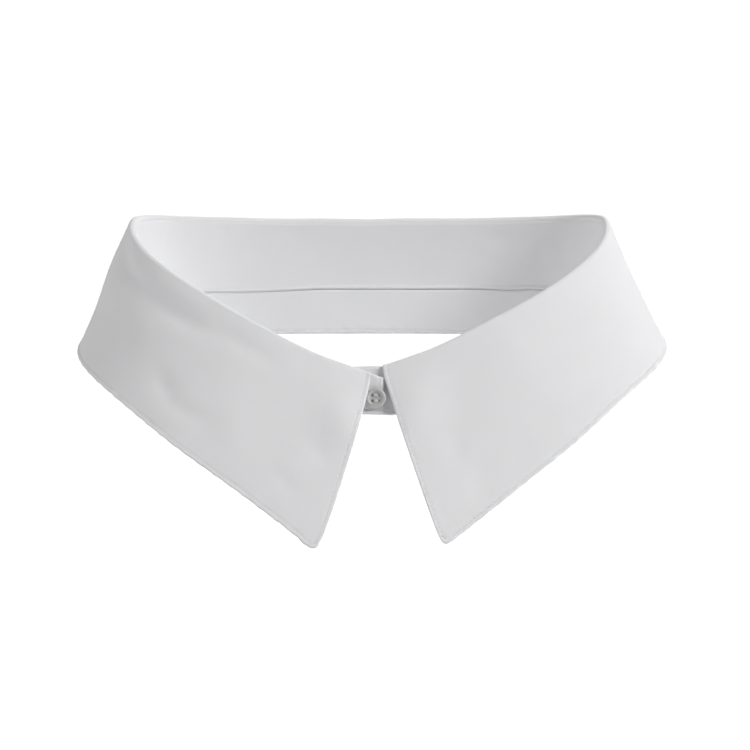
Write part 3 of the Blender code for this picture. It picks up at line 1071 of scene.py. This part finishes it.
def edgeLine(surfaces, longEdge, inset, face, sign):
    # the edge stitching's line: up one front edge, along the long edge and down the other
    surface, normals = surfaces[face], surfaces["facing"] * sign
    longAway, front = surfaces[longEdge], surfaces["frontAway"]
    half = len(front) // 2
    enough = inset * stitchSizes["lineShare"]
    inside = [j for j in range(len(front)) if front[j, -1] >= enough]
    seam = surfaces["seamAway"][half]
    rowsIn = [i for i in range(len(seam)) if seam[i] > inset and longAway[half, i] >= enough]
    along = contourOverRows(longAway, inset, surface, normals, inside)
    right, left = [
        contourOverRows(turned(front[part]), inset, turned(surface[part]), turned(normals[part]), rowsIn)
        for part in (slice(half - 1, None, -1), slice(half, None))
    ]
    return [np.concatenate([r, a, l[::-1]]) for r, a, l in zip(right, along, left)]


def leafEdgeLine(face, sign):
    return edgeLine(leafSurfaces, "styleAway", leafShell["stitchInset"], face, sign)


def standEdgeLine(face, sign):
    return edgeLine(standSurfaces, "neckAway", standShell["stitchInset"], face, sign)


def leafSeamLine(face, sign):
    front = leafSurfaces["frontAway"]
    inside = [j for j in range(len(front)) if front[j, 0] >= stitchSizes["seamEnds"]]
    near = slice(None), slice(len(leafShell["seamSteps"]))
    away, normals = leafSurfaces["seamAway"][near], leafSurfaces["facing"][near] * sign
    return contourOverRows(-away, -leafShell["seamStitchInset"], leafSurfaces[face][near], normals, inside)


def stitchedPiece(name, lineOn):
    # the same row of stitches shows on both faces of the cloth
    mesh = stitchMesh(name, [lineOn("upper", 1), lineOn("lower", -1)])
    return linkPiece(name, mesh, sewingThread)


leafStitching = stitchedPiece("leafEdgeStitching", leafEdgeLine)
seamStitching = stitchedPiece("seamStitching", leafSeamLine)
standStitching = stitchedPiece("standEdgeStitching", standEdgeLine)
print("edges stitched")


# The button, its thread and the worked buttonhole, all placed from the closure.
def tubeMesh(name, runs):
    # runs: (points, radius), each a smooth thread closed at both ends
    sides = threadSizes["sides"]
    points, places, faces = [], [], []
    for line, radius in runs:
        tubeFaces(faces, len(points), len(line), sides)
        travelled = 0.0
        side = None
        for k, at in enumerate(line):
            ahead = (line[min(k + 1, len(line) - 1)] - line[max(k - 1, 0)]).normalized()
            if side is None:
                side = ahead.orthogonal().normalized()
            side = (side - ahead * side.dot(ahead)).normalized()
            other = ahead.cross(side)
            if k:
                travelled += (at - line[k - 1]).length
            for j in range(sides):
                turn = 2 * math.pi * j / sides
                points.append(tuple(at + (side * math.cos(turn) + other * math.sin(turn)) * radius))
                places.append((travelled, turn, 0))
    return newMesh(name, points, faces, places)


def makeButton():
    s = buttonSizes
    half = s["thickness"] / 2
    dish = s["thickness"] - s["dishDepth"]
    inner = s["radius"] - s["rim"]
    flat = s["radius"] - s["rounding"]
    profile = [(0, 0), (flat, 0)]
    for k in range(1, s["edgeSteps"]):  # the outer edge, rounded from back to front
        turn = math.pi * k / s["edgeSteps"] - math.pi / 2
        profile.append((flat + s["rounding"] * math.cos(turn), half + half * math.sin(turn)))
    profile += [(flat, s["thickness"]), (inner + s["shoulder"], s["thickness"])]
    for k in range(1, s["dishSteps"]):  # down into the dish
        share = k / s["dishSteps"]
        sunk = s["dishDepth"] * (1 - math.cos(math.pi * share)) / 2
        profile.append((inner + s["shoulder"] - s["slope"] * share, s["thickness"] - sunk))
    profile += [(inner + s["shoulder"] - s["slope"], dish), (0, dish)]
    body = bmesh.new()
    rings = []
    for radius, height in profile:
        count = s["sides"] if radius else 1
        turns = [2 * math.pi * k / count for k in range(count)]
        rings.append([
            body.verts.new((radius * math.cos(turn), radius * math.sin(turn), height)) for turn in turns
        ])
    for before, after in zip(rings, rings[1:]):
        for k in range(s["sides"]):
            following = (k + 1) % s["sides"]
            corners = [before[k % len(before)], before[following % len(before)]]
            corners += [after[following % len(after)], after[k % len(after)]]
            body.faces.new(list(dict.fromkeys(corners)))
    bmesh.ops.recalc_face_normals(body, faces=body.faces)
    place = closureFrame() @ Matrix.Translation((0, 0, collarForm["seamGap"]))
    bmesh.ops.transform(body, matrix=place, verts=body.verts)
    drill = bmesh.new()
    for x in (-1, 1):
        for y in (-1, 1):
            spot = Vector((x, y, 0)) * s["holeSpacing"] / 2 + Vector((0, 0, half))
            bmesh.ops.create_cone(
                drill, cap_ends=True, segments=s["holeSides"], depth=2 * s["thickness"],
                radius1=s["holeRadius"], radius2=s["holeRadius"],
                matrix=place @ Matrix.Translation(spot),
            )
    piece = linkPiece("buttonDisc", meshFrom(body, "buttonDisc"), buttonPearl)
    cutPiece(piece, meshFrom(drill, "drill"))
    piece.data.shade_smooth()
    piece.data.set_sharp_from_angle(angle=s["sharpAngle"])
    addPlaces(piece.data, [vertex.co for vertex in piece.data.vertices])
    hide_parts("button")


threadSizes = {
    "sides": 8,
    "radius": 0.13 * mm,
    "strandSeed": 3,
    "strands": 3,
    "strandGap": 0.2 * mm,
    "strandSpread": 0.02 * mm,
    "strandReach": 1.02,
    "strandArch": 0.45,  # power of the arch: the lower, the squarer
    "strandPoints": 13,
    "dip": 0.7 * mm,  # into the button's holes
    "lift": 0.14 * mm,
    "shankStrands": 7,
    "shankSize": (0.34 * mm, 0.26 * mm),
    "shankRise": 0.2 * mm,
    "shankRadius": 0.16 * mm,
    "shankSteps": 6,
    "barSeed": 8,
    "barPitch": 0.27 * mm,
    "barLength": 1.0 * mm,
    "barSpread": (0.92, 1.06),
    "barSink": 0.22 * mm,
    "barRise": 0.17 * mm,
    "barOverhang": 0.12 * mm,
    "barShake": 0.01 * mm,
    "barRadius": 0.13 * mm,
    "barArch": 0.5,
    "barPoints": 7,
    "tackBars": 4,
    "tackPitch": 0.2 * mm,
    "tackOffset": 0.15 * mm,
    "tackReach": 0.85 * mm,
    "tackRise": 0.24 * mm,
    "tackArch": 0.4,
    "tackPoints": 9,
}


def archedLine(start, end, base, rise, power, count, draw=None):
    # a thread's line on the over lap, from (x, y) to (x, y) and arched over its base
    place = closureFrame()
    line = []
    for step in range(count):
        share = step / (count - 1)
        x = start[0] + (end[0] - start[0]) * share
        if draw:
            x += draw.uniform(-threadSizes["barShake"], threadSizes["barShake"])
        y = start[1] + (end[1] - start[1]) * share
        line.append(place @ Vector((x, y, base + rise * math.sin(math.pi * share) ** power)))
    return line


def makeButtonThread():
    s, t = buttonSizes, threadSizes
    dish = collarForm["seamGap"] + s["thickness"] - s["dishDepth"]
    lapFace = -(collarForm["standWall"] + collarForm["lapGap"])
    spacing = s["holeSpacing"] / 2
    reach = spacing * t["strandReach"]
    runs = []
    draw = random.Random(t["strandSeed"])
    for row in (-1, 1):
        for k in range(t["strands"]):
            shift = (k - (t["strands"] - 1) / 2) * t["strandGap"]
            y = row * spacing + shift + draw.uniform(-t["strandSpread"], t["strandSpread"])
            rise = t["dip"] + t["lift"]
            line = archedLine(
                (-reach, y), (reach, y), dish - t["dip"], rise, t["strandArch"], t["strandPoints"]
            )
            runs.append((line, t["radius"]))
    rise = collarForm["seamGap"] + t["shankRise"] - lapFace
    for k in range(t["shankStrands"]):  # the shank, from the button's back to the under lap
        turn = 2 * math.pi * k / t["shankStrands"]
        x, y = t["shankSize"][0] * math.cos(turn), t["shankSize"][1] * math.sin(turn)
        heights = [lapFace + rise * step / t["shankSteps"] for step in range(t["shankSteps"] + 1)]
        line = [closureFrame() @ Vector((x, y, height)) for height in heights]
        runs.append((line, t["shankRadius"]))
    return linkPiece("buttonThread", tubeMesh("buttonThread", runs), sewingThread)


def makeButtonholeStitches():
    s, t = buttonSizes, threadSizes
    start, end = s["slotEnd"] - s["slotLength"], s["slotEnd"]
    runs = []
    draw = random.Random(t["barSeed"])
    count = round(s["slotLength"] / t["barPitch"])
    for side in (-1, 1):
        for k in range(count + 1):
            x = start + s["slotLength"] * k / count
            inner = side * (s["slotHeight"] / 2 - t["barOverhang"])
            outer = inner + side * t["barLength"] * draw.uniform(*t["barSpread"])
            line = archedLine(
                (x, inner), (x, outer), -t["barSink"], t["barRise"], t["barArch"], t["barPoints"], draw
            )
            runs.append((line, t["barRadius"]))
    reach = s["slotHeight"] / 2 + t["tackReach"]
    for x in (start - t["tackOffset"], end + t["tackOffset"]):  # bar tacks over both ends
        for k in range(t["tackBars"]):
            at = x + (k - (t["tackBars"] - 1) / 2) * t["tackPitch"]
            line = archedLine(
                (at, -reach), (at, reach), -t["barSink"], t["tackRise"], t["tackArch"], t["tackPoints"]
            )
            runs.append((line, t["barRadius"]))
    return linkPiece("buttonholeStitches", tubeMesh("buttonholeStitches", runs), sewingThread)


makeButton()
buttonThread = makeButtonThread()
buttonholeStitches = makeButtonholeStitches()
print("button sewn on")

# Floor, light and camera.
studio = {
    "floorHeight": -0.32,
    "floorReach": 9.0,
    "floorSquares": 8,
    "floorColor": (0.92, 0.92, 0.93, 1),
    "floorRoughness": 0.9,
    "floorGlow": 1.02,
    "skyLight": 0.05,
    "skySeen": 1.02,
    "lampDistance": 2.0,
    "cameraLens": 172.8,
    "sensorWidth": 36,
    "cameraAt": (0.00167, -1.1954, 0.0931),
    "cameraLooksAt": (0.00167, 0.0, -0.0115),
}
# azimuth from the front to the right and elevation in degrees, side in metres, watts
Lamp = namedtuple("Lamp", "name azimuth elevation size power")
lamps = [
    Lamp("keySoftbox", 60, 32, 0.7, 30.5),
    Lamp("fillSoftbox", -68, 34, 0.8, 14.0),
    Lamp("rightStrip", 110, 30, 0.9, 0.8),
    Lamp("leftStrip", -85, 8, 0.9, 3.0),
    Lamp("rearSoftbox", 165, 42, 1.2, 17.0),
]


def makeFloor():
    shape = bmesh.new()
    squares = studio["floorSquares"]
    bmesh.ops.create_grid(shape, x_segments=squares, y_segments=squares, size=studio["floorReach"])
    bmesh.ops.translate(shape, verts=shape.verts, vec=(0, 0, studio["floorHeight"]))
    floor = linkObject("floor", meshFrom(shape, "floor"))
    material = bpy.data.materials.new("paleFloor")
    material.use_nodes = True
    tree = material.node_tree
    shader = tree.nodes["Principled BSDF"]
    shader.inputs["Base Color"].default_value = studio["floorColor"]
    shader.inputs["Roughness"].default_value = studio["floorRoughness"]
    seen = tree.nodes.new("ShaderNodeLightPath")
    lift = tree.nodes.new("ShaderNodeEmission")
    glow = mathNode(tree, "MULTIPLY", seen.outputs["Is Camera Ray"], studio["floorGlow"])
    tree.links.new(glow, lift.inputs["Strength"])
    both = tree.nodes.new("ShaderNodeAddShader")
    tree.links.new(shader.outputs[0], both.inputs[0])
    tree.links.new(lift.outputs[0], both.inputs[1])
    tree.links.new(both.outputs[0], tree.nodes["Material Output"].inputs["Surface"])
    floor.data.materials.append(material)


def makeSky():
    world = bpy.data.worlds.new("studioSky")
    bpy.context.scene.world = world
    world.use_nodes = True
    tree = world.node_tree
    sky = tree.nodes["Background"]
    sky.inputs["Color"].default_value = (1, 1, 1, 1)
    seen = tree.nodes.new("ShaderNodeLightPath")
    extra = studio["skySeen"] - studio["skyLight"]
    strength = mathNode(tree, "MULTIPLY_ADD", seen.outputs["Is Camera Ray"], extra, studio["skyLight"])
    tree.links.new(strength, sky.inputs["Strength"])


def makeLamps():
    for lamp in lamps:
        data = bpy.data.lights.new(lamp.name, "AREA")
        data.size = lamp.size
        data.energy = lamp.power
        softbox = linkObject(lamp.name, data)
        around, up = math.radians(lamp.azimuth), math.radians(lamp.elevation)
        toward = Vector((math.sin(around) * math.cos(up), -math.cos(around) * math.cos(up), math.sin(up)))
        softbox.location = toward * studio["lampDistance"]
        softbox.rotation_euler = toward.to_track_quat("Z", "Y").to_euler()
        softbox.visible_camera = False


def makeCamera():
    data = bpy.data.cameras.new("photoCamera")
    data.lens = studio["cameraLens"]
    data.sensor_width = studio["sensorWidth"]
    camera = linkObject("photoCamera", data)
    camera.location = studio["cameraAt"]
    look = Vector(studio["cameraLooksAt"]) - Vector(studio["cameraAt"])
    camera.rotation_euler = look.to_track_quat("-Z", "Y").to_euler()
    bpy.context.scene.camera = camera


makeFloor()
makeSky()
makeLamps()
makeCamera()
bpy.context.scene.view_settings.view_transform = "Standard"
bpy.context.scene.view_settings.look = "None"
print("studio lit")
